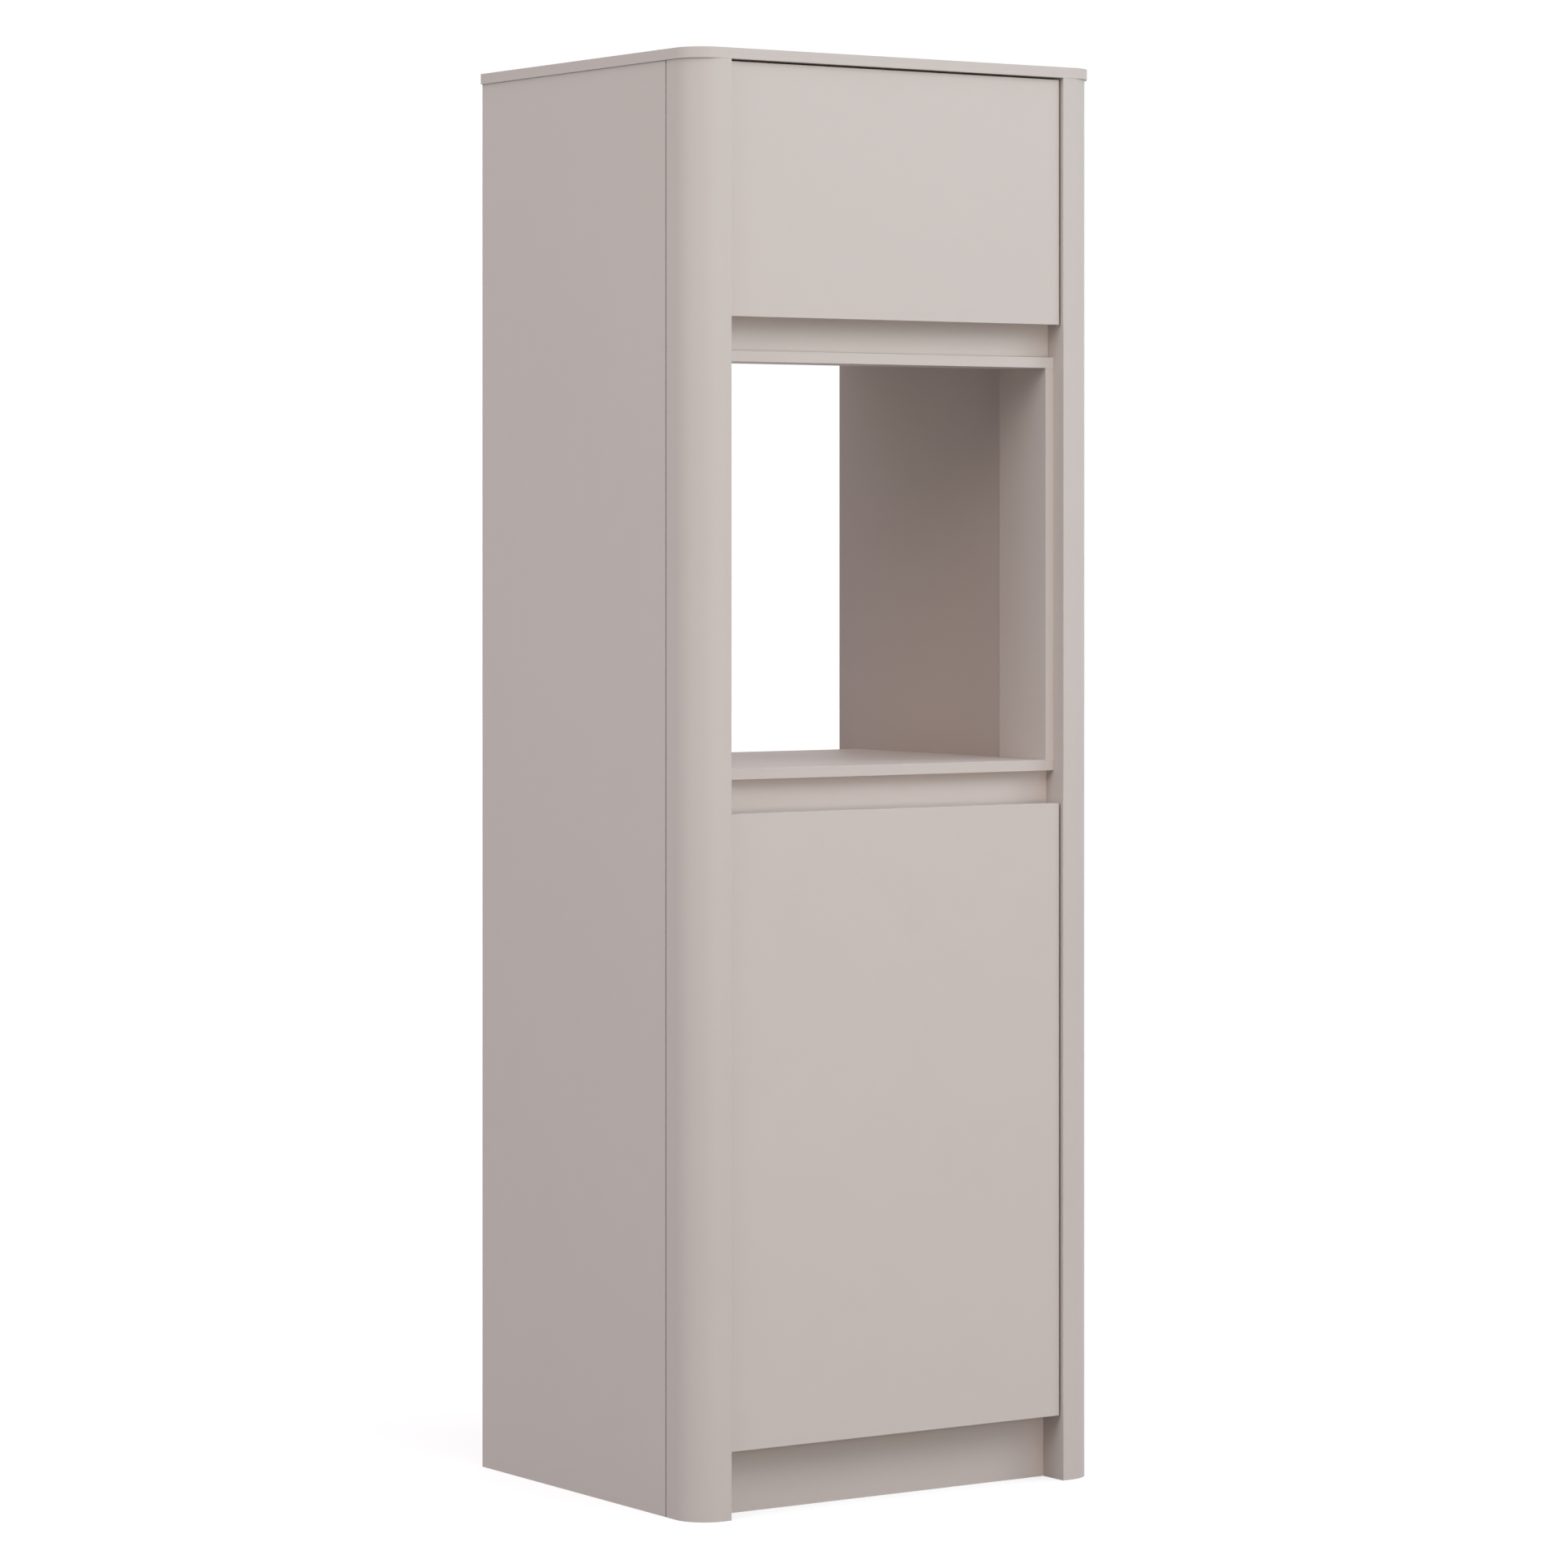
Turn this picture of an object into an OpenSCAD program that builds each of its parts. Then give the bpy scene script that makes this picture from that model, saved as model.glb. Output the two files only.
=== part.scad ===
// Tall microwave cabinet: a free-standing tower with curved corner posts, an upper and a lower
// side-hung door, recessed finger channels instead of handles, and an open-backed appliance niche.
// The frame's origin is on the floor, in the middle of the plan. +X is right, +Y back, +Z up.

/* [Levels] */
// Gap between the floor and the lower door
door_foot_gap = 98; // [80:1:160]
// Height of the lower door
lower_door_h = 925; // [700:5:1100]
// Height of each finger channel, between a door and the niche frame
channel_h = 49; // [40:1:80]
// Clear height of the appliance niche
niche_h = 593; // [380:1:700]
// Height of the upper door
upper_door_h = 370; // [300:5:600]

/* [Plan] */
// Clear width between the two corner posts
opening_w = 600; // [500:5:900]
// Depth from the front of the posts to the back
depth = 597; // [500:1:700]
// How far the top panel stands out past each side
top_overhang = 3; // [0.5:0.5:8]
// Radius of the front corners of the top panel
top_r = 46; // [24:1:56]

/* [Boards] */
// Thickness of the carcass boards
board_t = 16; // [15:0.5:19]
// Thickness of the two doors
door_t = 18; // [16:0.5:20]
// Thickness of the two back sheets
back_t = 3; // [2.5:0.5:5]
// Width of the rebate that takes the edge of a back sheet
back_lap = 9; // [6:0.5:12]

/* [Corner posts] */
// Width of a post, seen from the front
post_w = 64.5; // [62:0.5:90]
// Depth of a post, back to the shadow groove
post_d = 75.5; // [68:0.5:100]
// Radius of the rounded outer corner
post_r = 50; // [24:1:56]
// Radius of the eased edge beside the doors
post_arris = 1.5; // [0.5:0.1:3]
// Width of the shadow groove between a post and the side panel behind it
groove_w = 2.5; // [1.5:0.5:6]
// Depth of the batten that joins a post to the boards behind it
batten_d = 64; // [48:1:90]

/* [Doors] */
// How far the doors sit back from the front of the posts
door_setback = 6.5; // [1:0.5:10]
// Gap between a door and the post beside it
door_side_gap = 3.5; // [3.4:0.1:6]
// Gap between the upper door and the top panel
door_top_gap = 3; // [2:0.5:6]
// How far the lower door hangs below the base panel
door_drop = 2; // [0.5:0.5:8]
// How far fingers reach up or down behind the edge of a door
finger_reach = 22; // [15:1:30]

/* [Niche and channels] */
// How far the niche frame sits back from the front of the posts
niche_setback = 25; // [20:0.5:28]
// Depth of the rail above the niche
rail_d = 83; // [70:1:150]
// Depth of the lining strips that cover the joints in the niche walls
strip_d = 118; // [100:1:160]
// Thickness of those strips
strip_t = 15; // [12:0.5:18]
// Open gap behind the niche shelf, for a lead and for warm air
shelf_vent = 56; // [30:1:120]
// How far the back board of the upper channel sits back
upper_channel_in = 39; // [36:0.5:48]
// How far the back board of the lower channel sits back
lower_channel_in = 42.5; // [36:0.5:48]
// How far the plinth sits back
plinth_in = 51; // [35:1:54]

/* [Shelves] */
// Number of loose shelves behind the lower door
shelf_count = 2; // [2:1:3]
// How far the loose shelves sit back from the front of the posts
shelf_in = 60; // [45:1:90]
// Gap between a loose shelf and each side
shelf_gap = 1; // [0.5:0.25:2]
// Radius of the shelf pins
peg_r = 2.45; // [2:0.05:3]
// Length of a shelf pin that stands out of the side
peg_out = 8; // [6:0.5:12]
// Distance between two shelf holes
peg_pitch = 32; // [20:1:40]

/* [Hinges] */
// Distance from the edge of a door to the hinge pin
pin_edge = 9.5; // [9:0.1:10.5]
// Distance from the front of a door to the hinge pin
pin_front = 8.2; // [8.2:0.1:9]
// Radius of the hinge pin
pin_r = 1.25; // [1.1:0.05:1.3]
// Radius of the hinge cup
cup_r = 17.45; // [17.3:0.05:18]
// Distance from the hinge pin to the middle of the cup
cup_shift = 11.8; // [11.5:0.1:12]
// Thickness of the wood left in front of the cup
cup_skin = 4.8; // [4.5:0.1:4.8]
// Width of the hinge arm along the pin
arm_w = 14; // [10:0.5:16]
// Height of the mounting plate above the wall
plate_h = 4; // [3:0.5:5]
// Distance from the end of the lower door to the middle of its outer hinge
lower_hinge_end = 100; // [60:5:130]
// Distance from the end of the upper door to the middle of its hinge
upper_hinge_end = 80; // [60:5:110]

/* [Hidden] */
$fn = 48;
fine_fn = 96;

// Levels, from the floor up
base_z = door_foot_gap + door_drop;
lower_door_top = door_foot_gap + lower_door_h;
ceiling_z = lower_door_top - finger_reach - board_t;
shelf_z = lower_door_top + channel_h;
niche_z = shelf_z + board_t;
rail_z = niche_z + niche_h;
upper_door_z = rail_z + board_t + channel_h;
floor_z = upper_door_z + finger_reach;
top_z = upper_door_z + upper_door_h + door_top_gap;

// Plan, from the front of the posts back
front_y = -depth / 2;
back_y = depth / 2;
half_w = opening_w / 2;
outer_x = half_w + post_w;
door_y = front_y + door_setback;
door_back_y = door_y + door_t;
inner_back_y = back_y - back_t;
post_back_y = front_y + post_d;
cavity_w = post_w - 2 * board_t;
pocket_flat = 1;
door_w = opening_w - 2 * door_side_gap;

// The hinge pin, and the circle in which the back corner of a door turns about it
pin_x = half_w - door_side_gap - pin_edge;
pin_y = door_y + pin_front;
wall_off = half_w - pin_x;
turn_r = norm([pin_edge, door_t - pin_front]);
turn_clear = 1.5;
frame_y = pin_y + turn_r + turn_clear;

// Hinge arm, measured from the pin: its foot runs back along the wall behind the bend
steel_t = 2;
eye_wall = 1.05;
eye_r = pin_r + eye_wall;
pin_fit = 0.05;
arm_clear = 1.2;
arm_in_r = turn_r + arm_clear;
arm_out_r = arm_in_r + steel_t;
arm_foot = 40;
arm_screw_back = 10;
arm_end_y = arm_out_r + arm_foot;
arm_screw_y = arm_end_y - arm_screw_back;

// Mounting plate: it starts behind the bend, and its wings take a screw each
plate_start = 3;
plate_from_y = arm_out_r + plate_start;
plate_screw_z = 16;
plate_wing_r = 6.5;
plate_screw_y = plate_from_y + 2 * plate_wing_r;
plate_t = 2;

// Hinge cup: two bosses inside it hold the ends of the pin, one on each side of the arm
cup_wall = 0.8;
cup_fit = 0.05;
cup_back_y = door_t - pin_front;
cup_front_y = cup_skin - pin_front;
flange_t = 1;
flange_lip = 1.3;
flange_r = cup_r + flange_lip;
wing_r = 6;
wing_back = 6;
cup_screw_x = -cup_shift - wing_back;
cup_screw_z = 24;
boss_r = 4;
boss_gap = 0.8;
boss_z = arm_w / 2 + boss_gap;
pin_short = 0.1;
pin_half = sqrt(pow(cup_r, 2) - pow(cup_shift + pin_r, 2)) - pin_short;

// Screws: radius and height of the head, radius of the shank, and the pilot hole round it
screw_head_r = 3.2;
screw_head_h = 1.6;
screw_r = 1.75;
screw_fit = 0.1;
screw_len = 12;
arm_screw_r = 2.4;
arm_head_r = 4;
arm_head_h = 2.2;

// The cross recess in a screw head: its length and width, against the radius of the head
recess_length = 1.1;
recess_width = 0.25;

// Dowels and cam fittings
dowel_r = 4;
dowel_fit = 0.05;
dowel_in_wall = 11;
dowel_in_end = 19;
dowel_edge = 20;
top_dowel_edge = 60;
bore_spare = 1;
cam_r = 7.4;
cam_h = 12;
cam_fit = 0.1;
cam_end = 24;
cam_from_edge = 60;
bolt_r = 3;
bolt_thread_r = 2.4;
bolt_head_r = 3.6;
bolt_head_h = 3;
cam_slot_w = 1.2;
cam_slot_d = 1.5;

// Loose shelves
peg_collar_r = 4.5;
peg_collar_t = 1.5;
peg_in = 9;
peg_edge = 37;
peg_rows = 2;
shelf_back_gap = 5;
store_z = base_z + board_t;
store_h = ceiling_z - store_z;
loose_z = [for (i = [1:shelf_count]) store_z + store_h * i / (shelf_count + 1)];
seat_gap = 0.1;

// Wall brackets under the top panel, at the back
bracket_leg = 40;
bracket_w = 20;
bracket_x = 200;
bracket_hole_r = 3.25;
bracket_hole_drop = 26;
bracket_screw_in = [0.35, 0.75] * bracket_leg;

// The strips of the niche stand in shallow housings in its shelf
housing_d = 2;
housing_fit = 0.1;
sheet_play = 0.5;
batten_gap = 2;

bumper_r = 5;
bumper_gap = 0.3;
bumper_in = 50;
bumper_x = half_w - bumper_in;

greige = [0.80, 0.77, 0.74];
inside = [0.78, 0.74, 0.71];
steel = [0.72, 0.73, 0.75];
beech = [0.80, 0.65, 0.45];

lower_hinges = [door_foot_gap + lower_hinge_end, door_foot_gap + lower_door_h / 2,
    lower_door_top - lower_hinge_end];
upper_hinges = [upper_door_z + upper_hinge_end, upper_door_z + upper_door_h - upper_hinge_end];

// Places [y, z] where a dowel joins the end of a board to the wall beside it
dowel_sites = concat(
    [for (y = [dowel_edge, rail_d - dowel_edge]) [front_y + niche_setback + y, rail_z + board_t / 2]],
    [for (z = [ceiling_z + board_t + dowel_edge, shelf_z - dowel_edge])
        [front_y + lower_channel_in + board_t / 2, z]],
    [for (z = [rail_z + board_t + dowel_edge, floor_z - dowel_edge])
        [front_y + upper_channel_in + board_t / 2, z]],
    [for (y = [front_y + plinth_in + board_t / 2, inner_back_y - board_t / 2],
        z = [dowel_edge, base_z - dowel_edge]) [y, z]]);

// Boards held by cam fittings: [underside, front, back]
cam_boards = [
    [base_z, frame_y, inner_back_y],
    [ceiling_z, frame_y, inner_back_y],
    [shelf_z, front_y + niche_setback, back_y - shelf_vent],
    [floor_z, frame_y, inner_back_y]];

// Places [y, z] of the pins, two columns of them, and of the holes above and below each pin
peg_columns = [post_back_y + peg_edge, inner_back_y - peg_edge];
peg_sites = [for (z = loose_z, y = peg_columns) [y, z - peg_r - seat_gap]];
peg_holes = [for (s = peg_sites, i = [-peg_rows:peg_rows]) [s[0], s[1] + i * peg_pitch]];

// Places along the top of an inner side where a dowel stands up into the top panel
top_dowel_y = [post_back_y + top_dowel_edge, 0, back_y - top_dowel_edge];

function cam_ys(b) = [b[1] + cam_from_edge, b[2] - cam_from_edge];

// What is drawn for the right-hand side, drawn again for the left
module sided(left) {
    if (left) mirror([1, 0, 0]) children();
    else children();
}

// A board given by its lowest and highest corners
module board(from, to) translate(from) cube(to - from);

// A bore or peg along X, from one place in X to another
module rod_x(x_from, x_to, site, r)
    translate([x_from, site[0], site[1]]) rotate([0, 90, 0]) cylinder(h = x_to - x_from, r = r);

// A pan-head screw that goes down from z = 0, with a cross recess in its head
module screw(len, r = screw_r, head_r = screw_head_r, head_h = screw_head_h) {
    slot_l = head_r * recess_length;
    slot_w = head_r * recess_width;
    difference() {
        union() {
            cylinder(h = head_h, r = head_r);
            translate([0, 0, -len]) cylinder(h = len, r = r);
        }
        for (a = [0, 90]) rotate([0, 0, a])
            translate([-slot_l / 2, -slot_w / 2, head_h / 2]) cube([slot_l, slot_w, head_h]);
    }
}

// ---- bores ----

// Every bore in the right-hand wall, shared by the post and the inner side
module wall_bores() {
    for (s = dowel_sites)
        rod_x(half_w - bore_spare, half_w + dowel_in_wall + bore_spare, s, dowel_r + dowel_fit);
    for (b = cam_boards, y = cam_ys(b))
        rod_x(half_w - bore_spare, half_w + dowel_in_wall + bore_spare, [y, b[0] + board_t / 2],
            bolt_thread_r + dowel_fit);
    for (s = peg_holes)
        rod_x(half_w - bore_spare, half_w + peg_in + bore_spare, s, peg_r + dowel_fit);
}

// Pilot holes for the hinge plates, in the right-hand wall only
module hinge_bores() {
    for (z = concat(lower_hinges, upper_hinges), dz = [-plate_screw_z, plate_screw_z])
        rod_x(half_w - bore_spare, half_w + screw_len, [pin_y + plate_screw_y, z + dz],
            screw_r + screw_fit);
}

// Dowel bores in both ends of a board, of those sites that lie between two levels
module end_bores(z_low, z_high, y_low, y_high) {
    for (s = dowel_sites)
        if (s[1] > z_low && s[1] < z_high && s[0] > y_low && s[0] < y_high)
            for (m = [0, 1]) mirror([m, 0, 0])
                rod_x(half_w - dowel_in_end - bore_spare, half_w + bore_spare, s, dowel_r + dowel_fit);
}

// Bores for the cam fittings of one board, at its underside and in its ends
module cam_bores(b) {
    for (m = [0, 1], y = cam_ys(b)) mirror([m, 0, 0]) {
        translate([half_w - cam_end, y, b[0] - bore_spare])
            cylinder(h = cam_h + cam_fit + bore_spare, r = cam_r + cam_fit);
        rod_x(half_w - cam_end, half_w + bore_spare, [y, b[0] + board_t / 2], bolt_head_r + cam_fit);
    }
}

// ---- carcass ----

module top_panel() {
    w = outer_x + top_overhang;
    r = top_r;
    color(greige) difference() {
        translate([0, 0, top_z]) linear_extrude(height = board_t) {
            translate([-w, front_y + r]) square([2 * w, depth - r]);
            translate([-w + r, front_y]) square([2 * (w - r), r]);
            for (s = [-1, 1]) translate([s * (w - r), front_y + r]) circle(r = r, $fn = fine_fn);
        }
        for (s = [-1, 1], y = top_dowel_y)
            translate([s * (half_w + board_t / 2), y, top_z - bore_spare])
                cylinder(h = dowel_in_wall + 2 * bore_spare, r = dowel_r + dowel_fit);
        bracket_screw_sites() translate([0, 0, -bore_spare]) cylinder(h = screw_len + bore_spare,
            r = screw_r + screw_fit);
    }
}

module outer_side(left) {
    color(greige) sided(left)
        board([outer_x - board_t, post_back_y + groove_w, 0], [outer_x, back_y, top_z]);
}

module inner_side(left) {
    color(inside) sided(left) difference() {
        board([half_w, post_back_y, 0], [half_w + board_t, back_y, top_z]);
        wall_bores();
        back_rebates();
        for (y = top_dowel_y) translate([half_w + board_t / 2, y, top_z - dowel_in_end - bore_spare])
            cylinder(h = dowel_in_end + 2 * bore_spare, r = dowel_r + dowel_fit);
    }
}

// The rebates of one inner side, one behind each closed compartment
module back_rebates() {
    for (z = [[base_z, ceiling_z + board_t], [floor_z, top_z]])
        board([half_w - bore_spare, inner_back_y, z[0]], [half_w + back_lap, back_y + bore_spare, z[1]]);
}

// A quarter disc with its corner at the origin, towards +X and -Y
module quarter(r) intersection() {
    circle(r = r, $fn = fine_fn);
    translate([0, -r]) square(r);
}

// Outline of a post, its face to the opening at x = 0 and its front at y = 0, or of the pocket inside
module post_outline(inset, tail) {
    w = post_w - 2 * inset;
    r = min(post_r - inset, w - pocket_flat);
    translate([inset, inset]) {
        square([w - r, post_d - inset + tail]);
        translate([0, r]) square([w, post_d - inset + tail - r]);
        translate([w - r, r]) quarter(r);
    }
}

// What is cut from that outline to ease the edge beside the doors
module arris_cut() difference() {
    translate([-bore_spare, -bore_spare]) square(post_arris + bore_spare);
    translate([post_arris, post_arris]) mirror([1, 0]) quarter(post_arris);
}

module corner_post(left) {
    color(greige) sided(left) difference() {
        translate([half_w, front_y, 0]) linear_extrude(height = top_z) difference() {
            post_outline(0, 0);
            post_outline(board_t, bore_spare);
            arris_cut();
        }
        wall_bores();
        if (!left) hinge_bores();
    }
}

// Upright battens in the hollow wall: one in the pocket of the post, one in the middle, one at the back
module battens(left) {
    x = half_w + board_t;
    front = front_y + post_r + batten_gap;
    middle = (front + batten_d + back_y - 2 * board_t) / 2;
    color(beech) sided(left) {
        board([x, front, 0], [x + cavity_w, front + batten_d, top_z]);
        for (y = [middle, back_y - board_t])
            board([x, y, 0], [x + cavity_w, y + board_t, top_z]);
    }
}

module base_panel() {
    color(inside) difference() {
        board([-half_w, frame_y, base_z], [half_w, inner_back_y, base_z + board_t]);
        cam_bores(cam_boards[0]);
    }
}

module plinth_board() {
    y = front_y + plinth_in;
    color(greige) difference() {
        board([-half_w, y, 0], [half_w, y + board_t, base_z]);
        end_bores(0, base_z, y, y + board_t);
    }
}

module rear_plinth_rail() {
    y = inner_back_y - board_t;
    color(inside) difference() {
        board([-half_w, y, 0], [half_w, inner_back_y, base_z]);
        end_bores(0, base_z, y, inner_back_y);
    }
}

module lower_ceiling() {
    color(inside) difference() {
        board([-half_w, frame_y, ceiling_z], [half_w, inner_back_y, ceiling_z + board_t]);
        cam_bores(cam_boards[1]);
    }
}

module lower_channel_board() {
    y = front_y + lower_channel_in;
    z = ceiling_z + board_t;
    color(greige) difference() {
        board([-half_w, y, z], [half_w, y + board_t, shelf_z]);
        end_bores(z, shelf_z, y, y + board_t);
    }
}

module niche_shelf() {
    color(greige) difference() {
        board([-half_w, front_y + niche_setback, shelf_z], [half_w, back_y - shelf_vent, niche_z]);
        cam_bores(cam_boards[2]);
        for (m = [0, 1]) mirror([m, 0, 0]) strip_housing();
    }
}

module strip_housing() {
    y = front_y + niche_setback;
    board([half_w - strip_t - housing_fit, y - bore_spare, niche_z - housing_d],
        [half_w + bore_spare, y + strip_d + housing_fit, niche_z + bore_spare]);
}

module niche_strip(left) {
    y = front_y + niche_setback;
    color(greige) sided(left)
        board([half_w - strip_t, y, niche_z - housing_d], [half_w, y + strip_d, rail_z]);
}

module niche_rail() {
    y = front_y + niche_setback;
    color(greige) difference() {
        board([-half_w, y, rail_z], [half_w, y + rail_d, rail_z + board_t]);
        end_bores(rail_z, rail_z + board_t, y, y + rail_d);
    }
}

module upper_channel_board() {
    y = front_y + upper_channel_in;
    z = rail_z + board_t;
    color(greige) difference() {
        board([-half_w, y, z], [half_w, y + board_t, floor_z]);
        end_bores(z, floor_z, y, y + board_t);
    }
}

module upper_floor() {
    color(inside) difference() {
        board([-half_w, frame_y, floor_z], [half_w, inner_back_y, floor_z + board_t]);
        cam_bores(cam_boards[3]);
    }
}

// A thin back sheet between two levels, held in the rebates of the inner sides
module back_sheet(z_low, z_high) {
    x = half_w + back_lap - sheet_play;
    board([-x, inner_back_y, z_low + sheet_play], [x, back_y, z_high - sheet_play]);
}

module upper_back_sheet() {
    color(greige) difference() {
        back_sheet(floor_z, top_z);
        for (s = [-1, 1]) translate([s * bracket_x, inner_back_y - bore_spare, top_z - bracket_hole_drop])
            rotate([-90, 0, 0]) cylinder(h = back_t + 2 * bore_spare, r = bracket_hole_r);
    }
}

module lower_back_sheet() {
    color(greige) back_sheet(base_z, ceiling_z + board_t);
}

// ---- loose shelves ----

module loose_shelf(z) {
    x = half_w - shelf_gap;
    color(inside) board([-x, front_y + shelf_in, z], [x, inner_back_y - shelf_back_gap, z + board_t]);
}

module loose_shelf_low() {
    loose_shelf(loose_z[0]);
}

module loose_shelf_high() {
    for (i = [1:1:shelf_count - 1]) loose_shelf(loose_z[i]);
}

module shelf_pins() {
    color(steel) for (m = [0, 1], s = peg_sites) mirror([m, 0, 0]) {
        rod_x(half_w - peg_out, half_w + peg_in, s, peg_r);
        difference() {
            rod_x(half_w - peg_collar_t, half_w, s, peg_collar_r);
            board([half_w - 2 * peg_collar_t, s[0] - peg_collar_r, s[1] + peg_r],
                [half_w + bore_spare, s[0] + peg_collar_r, s[1] + 2 * peg_collar_r]);
        }
    }
}

// ---- joining hardware ----

// A cam disc in the underside of a board, open to the side for the head of its bolt
module cam_disc(y, z) {
    translate([half_w - cam_end, y, z]) difference() {
        cylinder(h = cam_h, r = cam_r);
        translate([-bolt_head_r, 0, board_t / 2]) rotate([0, 90, 0])
            cylinder(h = cam_r + bolt_head_r + bore_spare, r = bolt_head_r + cam_fit);
        translate([-cam_r / 2, -cam_slot_w / 2, -bore_spare])
            cube([cam_r, cam_slot_w, cam_slot_d + bore_spare]);
    }
}

module cam_discs() {
    color(steel) for (m = [0, 1], b = cam_boards, y = cam_ys(b)) mirror([m, 0, 0]) cam_disc(y, b[0]);
}

module cam_bolts() {
    color(steel) for (m = [0, 1], b = cam_boards, y = cam_ys(b)) mirror([m, 0, 0]) {
        site = [y, b[0] + board_t / 2];
        rod_x(half_w, half_w + dowel_in_wall, site, bolt_thread_r);
        rod_x(half_w - cam_end + bolt_head_h, half_w, site, bolt_r);
        rod_x(half_w - cam_end, half_w - cam_end + bolt_head_h, site, bolt_head_r);
    }
}

module dowels() {
    color(beech) {
        for (m = [0, 1], s = dowel_sites) mirror([m, 0, 0])
            rod_x(half_w - dowel_in_end, half_w + dowel_in_wall, s, dowel_r);
        for (s = [-1, 1], y = top_dowel_y)
            translate([s * (half_w + board_t / 2), y, top_z - dowel_in_end])
                cylinder(h = dowel_in_end + dowel_in_wall, r = dowel_r);
    }
}

// The places of the screws that hold the wall brackets up to the top panel
module bracket_screw_sites() {
    for (s = [-1, 1], d = bracket_screw_in)
        translate([s * bracket_x, inner_back_y - d, top_z]) children();
}

module wall_brackets() {
    color(steel) difference() {
        for (s = [-1, 1]) translate([s * bracket_x - bracket_w / 2, inner_back_y - bracket_leg, top_z]) {
            translate([0, 0, -steel_t]) cube([bracket_w, bracket_leg, steel_t]);
            translate([0, bracket_leg - steel_t, -bracket_leg]) cube([bracket_w, steel_t, bracket_leg]);
        }
        for (s = [-1, 1]) translate([s * bracket_x, inner_back_y - 2 * steel_t, top_z - bracket_hole_drop])
            rotate([-90, 0, 0]) cylinder(h = 3 * steel_t, r = bracket_hole_r);
        bracket_screw_sites() translate([0, 0, -2 * steel_t]) cylinder(h = 3 * steel_t,
            r = screw_r + screw_fit);
    }
}

module bracket_screws() {
    color(steel) bracket_screw_sites() translate([0, 0, -steel_t]) rotate([180, 0, 0]) screw(screw_len);
}

// Soft buffers on the front edges of the fixed boards, behind the doors
module door_bumpers() {
    sites = [[-bumper_x, base_z], [-bumper_x, ceiling_z], [-bumper_x, floor_z], [0, floor_z]];
    color("white") for (s = sites)
        translate([s[0], door_back_y + bumper_gap, s[1] + board_t / 2]) rotate([-90, 0, 0])
            cylinder(h = frame_y - door_back_y - bumper_gap, r = bumper_r);
}

// ---- hinges: a cup let into the door, a pin across it, and a swan-necked arm on a plate ----

// Places a hinge part at each height of a list
module at_hinges(heights) for (z = heights) translate([pin_x, pin_y, z]) children();

// The bent strip of the arm, seen along the pin. It stays outside the circle of the door's corner.
module arm_outline() {
    flat_x = wall_off - plate_h - steel_t;
    circle(r = eye_r);
    translate([-arm_out_r, -steel_t / 2]) square([arm_out_r, steel_t]);
    intersection() {
        difference() {
            circle(r = arm_out_r, $fn = fine_fn);
            circle(r = arm_in_r, $fn = fine_fn);
        }
        translate([-2 * arm_out_r, 0]) square(2 * arm_out_r);
    }
    translate([0, arm_in_r]) square([flat_x + steel_t, steel_t]);
    translate([flat_x, arm_in_r]) square([steel_t, arm_end_y - arm_in_r]);
}

module hinge_arm() {
    difference() {
        linear_extrude(height = arm_w, center = true) difference() {
            arm_outline();
            circle(r = pin_r + pin_fit);
        }
        translate([0, arm_screw_y, 0]) rotate([0, 90, 0])
            cylinder(h = wall_off, r = arm_screw_r + screw_fit);
    }
}

// The plate on the wall: a block under the arm, and a wing above and below it with a screw hole
module hinge_plate() {
    difference() {
        union() {
            board([wall_off - plate_h, plate_from_y, -arm_w / 2], [wall_off, arm_end_y, arm_w / 2]);
            board([wall_off - plate_t, plate_screw_y - plate_wing_r, -plate_screw_z],
                [wall_off, plate_screw_y + plate_wing_r, plate_screw_z]);
            for (z = [-plate_screw_z, plate_screw_z])
                rod_x(wall_off - plate_t, wall_off, [plate_screw_y, z], plate_wing_r);
        }
        for (z = [-plate_screw_z, plate_screw_z])
            rod_x(wall_off - plate_h, wall_off + bore_spare, [plate_screw_y, z], screw_r + screw_fit);
        rod_x(wall_off - plate_h - bore_spare, wall_off + bore_spare, [arm_screw_y, 0],
            arm_screw_r + screw_fit);
    }
}

// A cylinder along Y at the middle of the cup, from one depth to another
module cup_round(y_from, y_to, r)
    translate([-cup_shift, y_from, 0]) rotate([-90, 0, 0])
        cylinder(h = y_to - y_from, r = r, $fn = fine_fn);

module hinge_cup() {
    difference() {
        union() {
            cup_round(cup_front_y, cup_back_y, cup_r);
            cup_round(cup_back_y, cup_back_y + flange_t, flange_r);
            board([cup_screw_x - wing_r, cup_back_y, -cup_screw_z],
                [cup_screw_x + wing_r, cup_back_y + flange_t, cup_screw_z]);
            for (z = [-cup_screw_z, cup_screw_z]) translate([cup_screw_x, cup_back_y, z])
                rotate([-90, 0, 0]) cylinder(h = flange_t, r = wing_r);
        }
        difference() {
            cup_round(cup_front_y + cup_wall, cup_back_y + flange_t + bore_spare, cup_r - cup_wall);
            for (m = [0, 1]) mirror([0, 0, m])
                board([-boss_r, cup_front_y, boss_z], [boss_r, cup_back_y, cup_r]);
        }
        cylinder(h = 4 * cup_r, r = pin_r + pin_fit, center = true);
        cup_screw_holes(screw_r + screw_fit);
    }
}

// Screw holes of a cup, through its flange and on into the door
module cup_screw_holes(r) {
    for (z = [-cup_screw_z, cup_screw_z]) translate([cup_screw_x, cup_back_y - screw_len + flange_t, z])
        rotate([-90, 0, 0]) cylinder(h = screw_len + 2 * flange_t, r = r);
}

// The bores that one cup needs in its door
module cup_bores() {
    cup_round(cup_front_y, cup_back_y + bore_spare, cup_r + cup_fit);
    cup_screw_holes(screw_r + screw_fit);
}

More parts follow.
